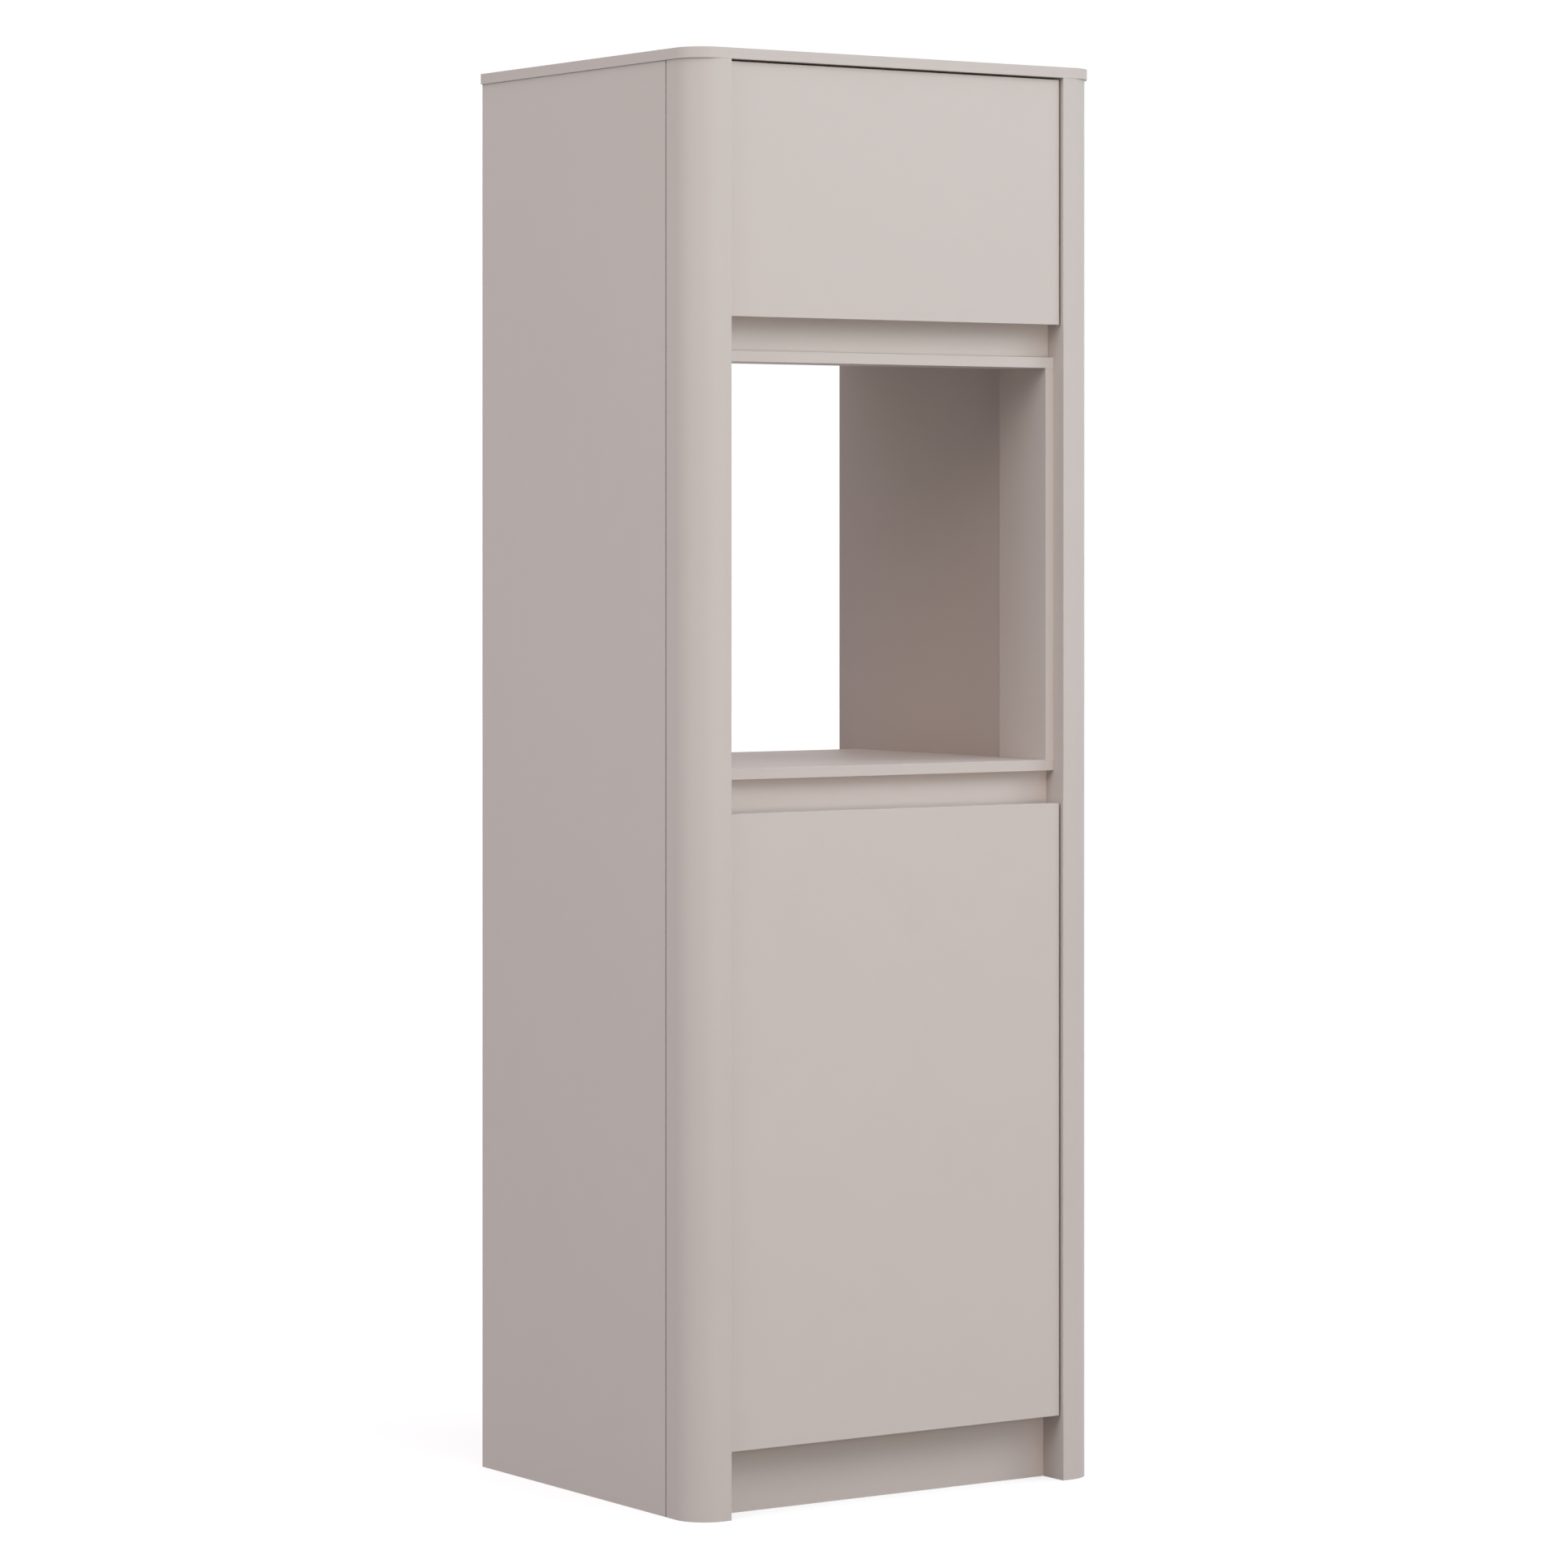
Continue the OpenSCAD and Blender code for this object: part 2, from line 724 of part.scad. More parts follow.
module cup_screws(heights) {
    color(steel) at_hinges(heights) for (z = [-cup_screw_z, cup_screw_z])
        translate([cup_screw_x, cup_back_y + flange_t, z]) rotate([-90, 0, 0]) screw(screw_len);
}

module hinge_pins(heights) {
    color(steel) at_hinges(heights) cylinder(h = 2 * pin_half, r = pin_r, center = true);
}

module plate_screws() {
    color(steel) at_hinges(concat(lower_hinges, upper_hinges)) for (z = [-plate_screw_z, plate_screw_z])
        translate([wall_off - plate_t, plate_screw_y, z]) rotate([0, -90, 0]) screw(screw_len);
}

module arm_screws() {
    color(steel) at_hinges(concat(lower_hinges, upper_hinges))
        translate([wall_off - plate_h - steel_t, arm_screw_y, 0]) rotate([0, -90, 0])
            screw(steel_t + plate_h, arm_screw_r, arm_head_r, arm_head_h);
}

// ---- doors ----

module door(z, h, hinges) {
    color(greige) difference() {
        board([-door_w / 2, door_y, z], [door_w / 2, door_back_y, z + h]);
        at_hinges(hinges) cup_bores();
    }
}

top_panel();
outer_side(true);  // left_outer_side
outer_side(false);  // right_outer_side
inner_side(true);  // left_inner_side
inner_side(false);  // right_inner_side
corner_post(true);  // left_corner_post
corner_post(false);  // right_corner_post
battens(true);  // left_battens
battens(false);  // right_battens
base_panel();
plinth_board();
rear_plinth_rail();
lower_ceiling();
lower_channel_board();
niche_shelf();
niche_strip(true);  // left_niche_strip
niche_strip(false);  // right_niche_strip
niche_rail();
upper_channel_board();
upper_floor();
upper_back_sheet();
lower_back_sheet();
loose_shelf_low();
loose_shelf_high();
shelf_pins();
cam_discs();
cam_bolts();
dowels();
wall_brackets();
bracket_screws();
door_bumpers();
color(steel) at_hinges(lower_hinges) hinge_plate();  // lower_hinge_plates
color(steel) at_hinges(lower_hinges) hinge_arm();  // lower_hinge_arms
color(steel) at_hinges(upper_hinges) hinge_plate();  // upper_hinge_plates
color(steel) at_hinges(upper_hinges) hinge_arm();  // upper_hinge_arms
plate_screws();
arm_screws();
door(door_foot_gap, lower_door_h, lower_hinges);  // lower_door
color(steel) at_hinges(lower_hinges) hinge_cup();  // lower_hinge_cups
hinge_pins(lower_hinges);  // lower_hinge_pins
cup_screws(lower_hinges);  // lower_cup_screws
door(upper_door_z, upper_door_h, upper_hinges);  // upper_door
color(steel) at_hinges(upper_hinges) hinge_cup();  // upper_hinge_cups
hinge_pins(upper_hinges);  // upper_hinge_pins
cup_screws(upper_hinges);  // upper_cup_screws
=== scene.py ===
import bpy
import math
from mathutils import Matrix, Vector


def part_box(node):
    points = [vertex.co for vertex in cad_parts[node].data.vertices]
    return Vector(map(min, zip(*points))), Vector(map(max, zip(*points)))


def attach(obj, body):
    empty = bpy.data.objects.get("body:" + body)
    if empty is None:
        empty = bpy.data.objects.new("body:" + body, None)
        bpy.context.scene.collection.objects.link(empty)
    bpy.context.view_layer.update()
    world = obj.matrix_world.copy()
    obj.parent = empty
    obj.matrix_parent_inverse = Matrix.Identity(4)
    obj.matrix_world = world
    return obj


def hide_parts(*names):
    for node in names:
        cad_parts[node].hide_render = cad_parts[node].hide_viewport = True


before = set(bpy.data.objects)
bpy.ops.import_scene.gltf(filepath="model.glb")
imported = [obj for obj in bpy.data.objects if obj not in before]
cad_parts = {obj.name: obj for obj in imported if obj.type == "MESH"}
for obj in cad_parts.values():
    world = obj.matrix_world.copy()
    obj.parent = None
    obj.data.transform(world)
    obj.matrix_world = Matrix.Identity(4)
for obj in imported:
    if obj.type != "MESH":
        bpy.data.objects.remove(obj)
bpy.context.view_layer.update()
print("frame loaded:", len(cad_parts), "nodes")

scene = bpy.context.scene
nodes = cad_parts
mm = 0.001

# a Mix node's two inputs and its result, for each kind of data
mixSockets = {"RGBA": (6, 7, 2), "VECTOR": (4, 5, 1)}


class Signal:
    # one output socket, so that what varies over a surface reads as an expression
    def __init__(self, shading, socket):
        self.shading = shading
        self.socket = socket

    def maths(self, operation, first, second, clamp=False):
        made = self.shading.node("ShaderNodeMath", {"operation": operation, "use_clamp": clamp},
                                 {0: first, 1: second})
        return Signal(self.shading, made.outputs[0])

    def __add__(self, other):
        return self.maths("ADD", self, other)

    __radd__ = __add__

    def __sub__(self, other):
        return self.maths("SUBTRACT", self, other)

    def __rsub__(self, other):
        return self.maths("SUBTRACT", other, self)

    def __mul__(self, other):
        return self.maths("MULTIPLY", self, other)

    __rmul__ = __mul__

    def __gt__(self, other):
        return self.maths("GREATER_THAN", self, other)

    def __lt__(self, other):
        return self.maths("LESS_THAN", self, other)

    def clamped(self):
        return self.maths("ADD", self, 0.0, clamp=True)

    def spread(self, low, high):
        # 0 at low, 1 at high
        return ((self - low) * (1.0 / (high - low))).clamped()

    def swing(self, amount):
        # a noise lies round one half; its swing lies round nought
        return (self - 0.5) * amount


class Shading:
    # a node tree, for a material or for the world
    def __init__(self, tree):
        self.tree = tree

    def node(self, kind, settings=None, sockets=None):
        made = self.tree.nodes.new(kind)
        for key, value in (settings or {}).items():
            setattr(made, key, value)
        for key, value in (sockets or {}).items():
            self.feed(made.inputs[key], value)
        return made

    def feed(self, socket, value):
        if isinstance(value, Signal):
            self.tree.links.new(value.socket, socket)
        else:
            socket.default_value = value

    def out(self, made, name=0):
        return Signal(self, made.outputs[name])

    def axis(self, vector, letter):
        parts = self.node("ShaderNodeSeparateXYZ", None, {0: vector})
        return self.out(parts, letter)

    def mix(self, data, factor, first, second, **settings):
        one, two, result = mixSockets[data]
        made = self.node("ShaderNodeMix", {"data_type": data, **settings},
                         {0: factor, one: first, two: second})
        return self.out(made, result)

    def blend(self, factor, first, second, kind="MIX"):
        return self.mix("RGBA", factor, first, second, blend_type=kind)

    def straightRays(self):
        # 1 for the rays that should see the plain white studio: camera, mirror and glass rays
        path = self.node("ShaderNodeLightPath")
        seen = self.out(path, "Is Camera Ray") + self.out(path, "Is Glossy Ray")
        return (seen + self.out(path, "Is Transmission Ray")).clamped()


class Surface(Shading):
    # a material with one shader, whose sockets are fed by name
    def __init__(self, name, **fixed):
        self.material = bpy.data.materials.new(name)
        self.material.use_nodes = True
        super().__init__(self.material.node_tree)
        self.shader = self.tree.nodes["Principled BSDF"]
        self.place = self.out(self.node("ShaderNodeTexCoord"), "Object")
        self.facing = self.out(self.node("ShaderNodeTexCoord"), "Normal")
        self.paint(**fixed)

    def noise(self, scale, detail, roughness, place=None):
        made = self.node("ShaderNodeTexNoise", None, {"Vector": place or self.place, "Scale": scale,
                                                      "Detail": detail, "Roughness": roughness})
        return self.out(made)

    def stretched(self, x, y, z):
        made = self.node("ShaderNodeMapping", None, {"Vector": self.place, "Scale": (x, y, z)})
        return self.out(made)

    def chips(self, scale, place):
        made = self.node("ShaderNodeTexVoronoi", {"feature": "F1"}, {"Vector": place, "Scale": scale})
        return self.out(made, "Color")

    def attribute(self, name):
        made = self.node("ShaderNodeAttribute", {"attribute_name": name})
        return self.out(made, "Fac")

    def relief(self, height, strength, distance, under=None):
        sockets = {"Height": height, "Strength": strength, "Distance": distance}
        if under:
            sockets["Normal"] = under
        return self.out(self.node("ShaderNodeBump", None, sockets))

    def paint(self, **fed):
        for socket, value in fed.items():
            self.feed(self.shader.inputs[socket.replace("_", " ")], value)
        return self.material


def ink(red, green, blue):
    # an eight-bit screen colour as scene-linear values
    def linear(v):
        v = v / 255
        return v / 12.92 if v <= 0.04045 else ((v + 0.055) / 1.055) ** 2.4
    return (linear(red), linear(green), linear(blue), 1.0)


def grey(value):
    return (value, value, value, 1.0)


def tint(colour, factor):
    return tuple(min(1.0, c * factor) for c in colour[:3]) + (1.0,)


# in the finishes a noise is (how many to the metre, detail, roughness), a spread is (where it starts, where
# it is full), a relief is (strength, depth), and what ends in Rough is added to the roughness
foil = {"tone": ink(207, 196, 190), "rough": 0.52, "sheen": 0.2,
        "clouds": (1.7, 3.0, 0.55), "cloudSpread": (0.3, 0.7), "cloudTone": 0.022,
        "flecks": (1235, 2.0, 0.6), "fleckSpread": (0.25, 0.75), "fleckStrength": 0.03, "fleckTone": 0.80,
        "bandStrength": 0.5, "bandTone": 1.02,
        "rub": (14, 4.0, 0.6), "rubLeast": 0.35, "rubTone": 1.035, "rubRough": 0.07, "edgeRough": -0.06,
        "grain": (950, 3.0, 0.65), "grainRough": 0.10, "grainRelief": (0.35, 0.05 * mm),
        "waves": (26, 2.0, 0.5), "waveRelief": (0.05, 0.4 * mm)}


def mattFoil(name, tone, rough, rawBack=False):
    # soft-touch matt foil: hardly any gloss, a fine even grain, and edges rubbed a little lighter
    surface = Surface(name, Specular_IOR_Level=foil["sheen"])
    clouds = surface.noise(*foil["clouds"]).spread(*foil["cloudSpread"])
    flecks = surface.noise(*foil["flecks"]).spread(*foil["fleckSpread"])
    grain = surface.noise(*foil["grain"])
    rub = surface.noise(*foil["rub"])
    edge = surface.attribute("edgeRound")
    band = surface.attribute("edgeBand")
    rubbed = edge * (foil["rubLeast"] + rub * (1 - foil["rubLeast"]))
    base = surface.blend(clouds, tint(tone, 1 - foil["cloudTone"]), tint(tone, 1 + foil["cloudTone"]))
    base = surface.blend(flecks * foil["fleckStrength"], base, tint(tone, foil["fleckTone"]))
    base = surface.blend(band * foil["bandStrength"], base, tint(tone, foil["bandTone"]))
    base = surface.blend(rubbed, base, tint(tone, foil["rubTone"]))
    uneven = grain.swing(foil["grainRough"]) + rub.swing(foil["rubRough"])
    roughness = rough + uneven + edge * foil["edgeRough"]
    bump = surface.relief(grain, *foil["grainRelief"])
    wavy = surface.relief(surface.noise(*foil["waves"]), *foil["waveRelief"], under=bump)
    if rawBack:
        base, roughness, wavy = rawEdge(surface, base, roughness, wavy)
    return surface.paint(Base_Color=base, Roughness=roughness, Normal=wavy)


chipboard = {"light": ink(214, 188, 148), "mid": ink(186, 152, 108), "dark": ink(140, 104, 66),
             "stretch": (1.0, 1.0, 0.45), "chipsPerMetre": 420, "chipSpread": (0.2, 0.9), "chipHeight": 0.6,
             "darkBelow": 0.16, "darkStrength": 0.7,
             "dust": (1500, 3.0, 0.6), "dustSpread": (0.35, 0.75), "dustStrength": 0.4,
             "relief": (0.6, 0.5 * mm), "rawRough": 0.35, "towardsWall": 0.9}


def chipEdge(surface):
    # the cut edge of particle board: upright chips, a few of them dark, under fine dust
    chip = surface.chips(chipboard["chipsPerMetre"], surface.stretched(*chipboard["stretch"]))
    tone = surface.axis(chip, "X")
    dust = surface.noise(*chipboard["dust"])
    dark = (tone < chipboard["darkBelow"]) * chipboard["darkStrength"]
    dusty = dust.spread(*chipboard["dustSpread"]) * chipboard["dustStrength"]
    colour = surface.blend(tone.spread(*chipboard["chipSpread"]), chipboard["mid"], chipboard["light"])
    colour = surface.blend(dark, colour, chipboard["dark"])
    colour = surface.blend(dusty, colour, chipboard["mid"])
    return colour, tone * chipboard["chipHeight"] + dust * (1 - chipboard["chipHeight"])


def rawEdge(surface, base, roughness, normal):
    # the edges that stand against the wall carry no band
    back = surface.axis(surface.facing, "Y") > chipboard["towardsWall"]
    colour, height = chipEdge(surface)
    raw = surface.relief(height, *chipboard["relief"])
    return (surface.blend(back, base, colour), roughness + back * chipboard["rawRough"],
            surface.mix("VECTOR", back, normal, raw))


sheet = {"outside": ink(150, 116, 82), "fibre": ink(112, 82, 56), "inside": ink(205, 198, 190),
         "rough": 0.5, "bareRough": 0.18, "sheen": 0.3, "towardsWall": 0.5,
         "fibres": (240, 6.0, 0.7), "stretch": (1.0, 1.0, 2.6), "fibreSpread": (0.35, 0.7), "fibreRough": 0.1,
         "patches": (7, 3.0, 0.5), "patchSpread": (0.3, 0.8), "patchStrength": 0.25, "patchTone": 1.15,
         "grain": (900, 3.0, 0.6), "grainStrength": 0.08, "grainTone": 0.8, "relief": (0.25, 0.15 * mm)}


def backSheet():
    # thin hardboard: lacquered towards the inside, bare and pressed smooth towards the wall
    surface = Surface("backSheet", Specular_IOR_Level=sheet["sheen"])
    toWall = surface.axis(surface.facing, "Y") > sheet["towardsWall"]
    fibres = surface.noise(*sheet["fibres"], place=surface.stretched(*sheet["stretch"]))
    patches = surface.noise(*sheet["patches"]).spread(*sheet["patchSpread"])
    grain = surface.noise(*sheet["grain"])
    bare = surface.blend(fibres.spread(*sheet["fibreSpread"]), sheet["fibre"], sheet["outside"])
    bare = surface.blend(patches * sheet["patchStrength"], bare, tint(sheet["outside"], sheet["patchTone"]))
    lacquer = surface.blend(grain * sheet["grainStrength"], sheet["inside"],
                            tint(sheet["inside"], sheet["grainTone"]))
    roughness = sheet["rough"] + toWall * sheet["bareRough"] + fibres.swing(sheet["fibreRough"])
    return surface.paint(Base_Color=surface.blend(toWall, lacquer, bare), Roughness=roughness,
                         Normal=surface.relief(fibres, *sheet["relief"]))


bareMetal = {"stretch": (1.0, 1.0, 0.06), "drawn": (900, 3.0, 0.6), "drawnStrength": 0.15, "drawnTone": 1.12,
             "drawnRough": 0.14, "relief": (0.12, 0.03 * mm),
             "spots": (120, 4.0, 0.6), "spotSpread": (0.4, 0.75), "spotStrength": 0.5, "spotTone": 0.82,
             "dullSpread": (0.5, 0.8), "dullRough": 0.12}


def metal(name, tone, rough):
    # a soft drawn grain that runs upright, and a few dull spots
    surface = Surface(name, Metallic=1.0)
    drawn = surface.noise(*bareMetal["drawn"], place=surface.stretched(*bareMetal["stretch"]))
    spots = surface.noise(*bareMetal["spots"])
    stained = spots.spread(*bareMetal["spotSpread"]) * bareMetal["spotStrength"]
    dull = spots.spread(*bareMetal["dullSpread"]) * bareMetal["dullRough"]
    base = surface.blend(stained, tone, tint(tone, bareMetal["spotTone"]))
    base = surface.blend(drawn * bareMetal["drawnStrength"], base, tint(tone, bareMetal["drawnTone"]))
    return surface.paint(Base_Color=base, Roughness=rough + drawn.swing(bareMetal["drawnRough"]) + dull,
                         Normal=surface.relief(drawn, *bareMetal["relief"]))


woodGrain = {"rough": 0.6, "rayRough": 0.15, "sheen": 0.3, "relief": (0.3, 0.1 * mm),
             "rayDetail": (4.0, 0.6), "raySpread": (0.3, 0.7), "raysToRing": 0.15,
             "ringDetail": (3.0, 0.55), "ringSpread": (0.45, 0.6), "ringStrength": 0.35}


def wood(name, dark, light, stretch, raysPerMetre):
    # straight-grained wood; the stretch of its noise is small along the grain
    surface = Surface(name, Specular_IOR_Level=woodGrain["sheen"])
    grain = surface.stretched(*stretch)
    rays = surface.noise(raysPerMetre, *woodGrain["rayDetail"], place=grain)
    rings = surface.noise(raysPerMetre * woodGrain["raysToRing"], *woodGrain["ringDetail"], place=grain)
    base = surface.blend(rays.spread(*woodGrain["raySpread"]), dark, light)
    base = surface.blend(rings.spread(*woodGrain["ringSpread"]) * woodGrain["ringStrength"], base, dark)
    return surface.paint(Base_Color=base, Roughness=woodGrain["rough"] + rays * woodGrain["rayRough"],
                         Normal=surface.relief(rays, *woodGrain["relief"]))


rubber = {"tone": ink(226, 225, 220), "bloomTone": ink(205, 204, 198), "rough": 0.42, "sheen": 0.45,
          "bloom": (500, 3.0, 0.6), "bloomSpread": (0.3, 0.8), "bloomRough": 0.2, "relief": (0.15, 0.05 * mm)}


def softBuffer():
    surface = Surface("bufferRubber", Specular_IOR_Level=rubber["sheen"])
    bloom = surface.noise(*rubber["bloom"])
    base = surface.blend(bloom.spread(*rubber["bloomSpread"]), rubber["tone"], rubber["bloomTone"])
    return surface.paint(Base_Color=base, Roughness=rubber["rough"] + bloom * rubber["bloomRough"],
                         Normal=surface.relief(bloom, *rubber["relief"]))


# inner carcass melamine: a little darker and smoother than the foil, and its tone is darkened further as
# painted shade on the inner walls of the niche
melamineWithPaintedShade = {"tone": tint(foil["tone"], 0.955), "rough": 0.46}

finishes = {
    "foil": mattFoil("greigeFoil", foil["tone"], foil["rough"], rawBack=True),
    "wrapped": mattFoil("greigeWrappedFoil", foil["tone"], foil["rough"]),
    "melamineWithPaintedShade": mattFoil("greigeMelamineWithPaintedShade", melamineWithPaintedShade["tone"], melamineWithPaintedShade["rough"], rawBack=True),
    "sheet": backSheet(),
    "nickel": metal("nickelSteel", tone=ink(206, 202, 196), rough=0.30),
    "zinc": metal("castZinc", tone=ink(168, 168, 170), rough=0.46),
    "beech": wood("beechDowel", dark=ink(196, 158, 112), light=ink(226, 194, 150),
                  stretch=(0.08, 1.0, 1.0), raysPerMetre=300),
    "spruce": wood("spruceBatten", dark=ink(206, 170, 116), light=ink(236, 210, 164),
                   stretch=(1.0, 1.0, 0.05), raysPerMetre=260),
    "buffer": softBuffer(),
}
print("finishes made:", len(finishes))

# how near two places or normals must be, and the angles between faces, for the helpers that follow
care = {"merge": 0.004 * mm, "onPlane": 0.02 * mm, "near": 1.0 * mm, "facing": 0.9,
        "flat": math.radians(0.3), "smooth": math.radians(40), "folded": 0.5}


def deselectAll():
    if bpy.context.mode != "OBJECT":
        bpy.ops.object.mode_set(mode="OBJECT")
    bpy.ops.object.select_all(action="DESELECT")


def active(piece):
    deselectAll()
    piece.select_set(True)
    bpy.context.view_layer.objects.active = piece


def editAll():
    bpy.ops.object.mode_set(mode="EDIT")
    bpy.ops.mesh.select_all(action="SELECT")


def pickFaces(piece, rule):
    # selects the faces that a rule on a face picks
    bpy.ops.object.mode_set(mode="EDIT")
    bpy.ops.mesh.select_mode(type="FACE")
    bpy.ops.mesh.select_all(action="DESELECT")
    bpy.ops.object.mode_set(mode="OBJECT")
    for polygon in piece.data.polygons:
        polygon.select = rule(polygon)
    bpy.ops.object.mode_set(mode="EDIT")


def pickEdges(piece, rule):
    # selects the edges that a rule on their two ends and on the angle between their faces picks
    bpy.ops.object.mode_set(mode="OBJECT")
    mesh = piece.data
    facesOf = {}
    for polygon in mesh.polygons:
        for key in polygon.edge_keys:
            facesOf.setdefault(key, []).append(polygon.normal.copy())
    for item in list(mesh.polygons) + list(mesh.vertices):
        item.select = False
    for edge in mesh.edges:
        normals = facesOf.get(edge.key, [])
        angle = normals[0].angle(normals[1], 0.0) if len(normals) == 2 else 0.0
        a, b = (mesh.vertices[i].co for i in edge.vertices)
        edge.select = rule(a, b, angle)
    bpy.ops.object.mode_set(mode="EDIT")
    bpy.ops.mesh.select_mode(type="EDGE")


def roundPicked(radius, segments):
    # rounds the selected edges to an arc and leaves the new faces selected
    bpy.ops.mesh.bevel(offset=radius, segments=segments, profile=0.5, affect="EDGES")


def markFaces(piece, attribute, rule=lambda polygon: polygon.select):
    # writes 1 to a face attribute, for the faces that are selected or that a rule picks
    bpy.ops.object.mode_set(mode="OBJECT")
    mesh = piece.data
    if attribute not in mesh.attributes:
        mesh.attributes.new(attribute, "FLOAT", "FACE")
    values = mesh.attributes[attribute].data
    for polygon in mesh.polygons:
        if rule(polygon):
            values[polygon.index].value = 1.0


def cubeBetween(name, low, high):
    deselectAll()
    bpy.ops.mesh.primitive_cube_add(size=1, location=(low + high) / 2)
    piece = bpy.context.active_object
    piece.name = name
    piece.data.name = name
    piece.scale = high - low
    bpy.ops.object.transform_apply(location=True, rotation=True, scale=True)
    return piece


def copyOf(node, name):
    # a CAD node's mesh is loose triangles, so its copy is merged and its flat faces are made whole
    piece = bpy.data.objects.new(name, nodes[node].data.copy())
    piece.data.name = name
    scene.collection.objects.link(piece)
    active(piece)
    bpy.ops.mesh.customdata_custom_splitnormals_clear()
    editAll()
    bpy.ops.mesh.remove_doubles(threshold=care["merge"])
    bpy.ops.mesh.dissolve_limited(angle_limit=care["flat"])
    bpy.ops.object.mode_set(mode="OBJECT")
    return piece


def cornersOf(piece):
    places = [vertex.co for vertex in piece.data.vertices]
    return [Vector(map(pick, *places)) for pick in (min, max)]


def close(first, second, near=care["near"]):
    return abs(first - second) < near


def onBox(a, b, corners):
    # whether an edge lies on two of the six planes of a box
    planes = 0
    for corner in corners:
        for axis in range(3):
            planes += all(close(end[axis], corner[axis], care["onPlane"]) for end in (a, b))
    return planes >= 2


def roundOutline(piece, radius, segments):
    # rounds the outer edges of a board and marks the rounded faces
    corners = cornersOf(piece)
    active(piece)
    pickEdges(piece, lambda a, b, angle: angle > care["folded"] and onBox(a, b, corners))
    roundPicked(radius, segments)
    markFaces(piece, "edgeRound")


def bandFront(piece, thickness):
    # the glued band on the front edge of a board ends in a hairline joint
    joint = cornersOf(piece)[0].y + thickness
    active(piece)
    editAll()
    bpy.ops.mesh.bisect(plane_co=(0, joint, 0), plane_no=(0, 1, 0))
    markFaces(piece, "edgeBand", lambda polygon: polygon.center.y < joint)


def finish(piece, body, finishName, *replaced, slot=None):
    active(piece)
    editAll()
    bpy.ops.mesh.normals_make_consistent(inside=False)
    bpy.ops.object.mode_set(mode="OBJECT")
    bpy.ops.object.shade_smooth_by_angle(angle=care["smooth"])
    weigh = piece.modifiers.new("weigh", "WEIGHTED_NORMAL")
    weigh.keep_sharp = True
    bpy.ops.object.modifier_apply(modifier=weigh.name)
    piece.data.materials.clear()
    piece.data.materials.append(finishes[finishName])
    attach(piece, body)
    if replaced:
        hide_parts(*replaced)


# each edge is (radius, segments)
boardLook = {"doorEdge": (0.35 * mm, 4), "panelEdge": (0.35 * mm, 3), "boardEdge": (0.3 * mm, 3),
             "channelEdge": (1.4 * mm, 3), "band": 0.8 * mm}

# for each CAD node its piece, its edge, its finish, and whether a band is glued to its front
plainBoards = {
    "left_outer_side": ("leftSidePanel", "panelEdge", "foil", False),
    "right_outer_side": ("rightSidePanel", "panelEdge", "foil", False),
    "plinth_board": ("plinthPanel", "boardEdge", "wrapped", False),
    "lower_channel_board": ("lowerChannelBack", "channelEdge", "wrapped", False),
    "upper_channel_board": ("upperChannelBack", "channelEdge", "wrapped", False),
    "niche_shelf": ("nicheShelf", "boardEdge", "foil", True),
    "niche_rail": ("nicheRail", "boardEdge", "foil", True),
    "left_niche_strip": ("leftNicheStrip", "boardEdge", "wrapped", True),
    "right_niche_strip": ("rightNicheStrip", "boardEdge", "wrapped", True),
    "base_panel": ("basePanel", "boardEdge", "melamineWithPaintedShade", True),
    "lower_ceiling": ("lowerCeiling", "boardEdge", "melamineWithPaintedShade", True),
    "upper_floor": ("upperFloor", "boardEdge", "melamineWithPaintedShade", True),
    "loose_shelf_low": ("looseShelfLow", "boardEdge", "melamineWithPaintedShade", True),
    "loose_shelf_high": ("looseShelfHigh", "boardEdge", "melamineWithPaintedShade", True),
}
for node, (name, edgeKind, finishName, banded) in plainBoards.items():
    board = copyOf(node, name)
    if banded:
        bandFront(board, boardLook["band"])
    roundOutline(board, *boardLook[edgeKind])
    finish(board, "carcass", finishName, node)
print("boards dressed:", len(plainBoards))

for node, name in {"upper_door": "upperDoorPanel", "lower_door": "lowerDoorPanel"}.items():
    door = copyOf(node, name)
    roundOutline(door, *boardLook["doorEdge"])
    finish(door, node, "wrapped", node)      # each door's body is named as its node
print("doors dressed")

# each edge is (radius, segments)
postLook = {"wall": 16 * mm, "outer": (50 * mm, 36), "arris": (1.0 * mm, 5), "rear": (0.35 * mm, 3)}


def curvedPost(node, name):
    # a wrapped profile: inner flange, front and outer flange, bent in one sweep round the corner
    low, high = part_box(node)
    outerX, innerX = (high.x, low.x) if low.x > 0 else (low.x, high.x)
    post = cubeBetween(name, low, high)
    pickFaces(post, lambda face: face.normal.y > care["facing"] or abs(face.normal.z) > care["facing"])
    bpy.ops.mesh.delete(type="ONLY_FACE")

    def along(a, b, x, y):
        return all(close(end.x, x) and close(end.y, y) for end in (a, b))
    pickEdges(post, lambda a, b, angle: along(a, b, outerX, low.y))
    roundPicked(*postLook["outer"])
    bpy.ops.object.mode_set(mode="OBJECT")
    wall = post.modifiers.new("wall", "SOLIDIFY")
    wall.thickness = postLook["wall"]
    wall.offset = -1
    wall.use_even_offset = True
    bpy.ops.object.modifier_apply(modifier=wall.name)
    for x, y, edge in ((innerX, low.y, "arris"), (outerX, high.y, "rear")):
        pickEdges(post, lambda a, b, angle: along(a, b, x, y))
        roundPicked(*postLook[edge])
        markFaces(post, "edgeRound")
    finish(post, "carcass", "wrapped", node)


curvedPost("left_corner_post", "leftCurvedPost")
curvedPost("right_corner_post", "rightCurvedPost")
print("posts bent")

topLook = {"corner": (46 * mm, 36), "arris": (0.35 * mm, 4)}      # each is (radius, segments)


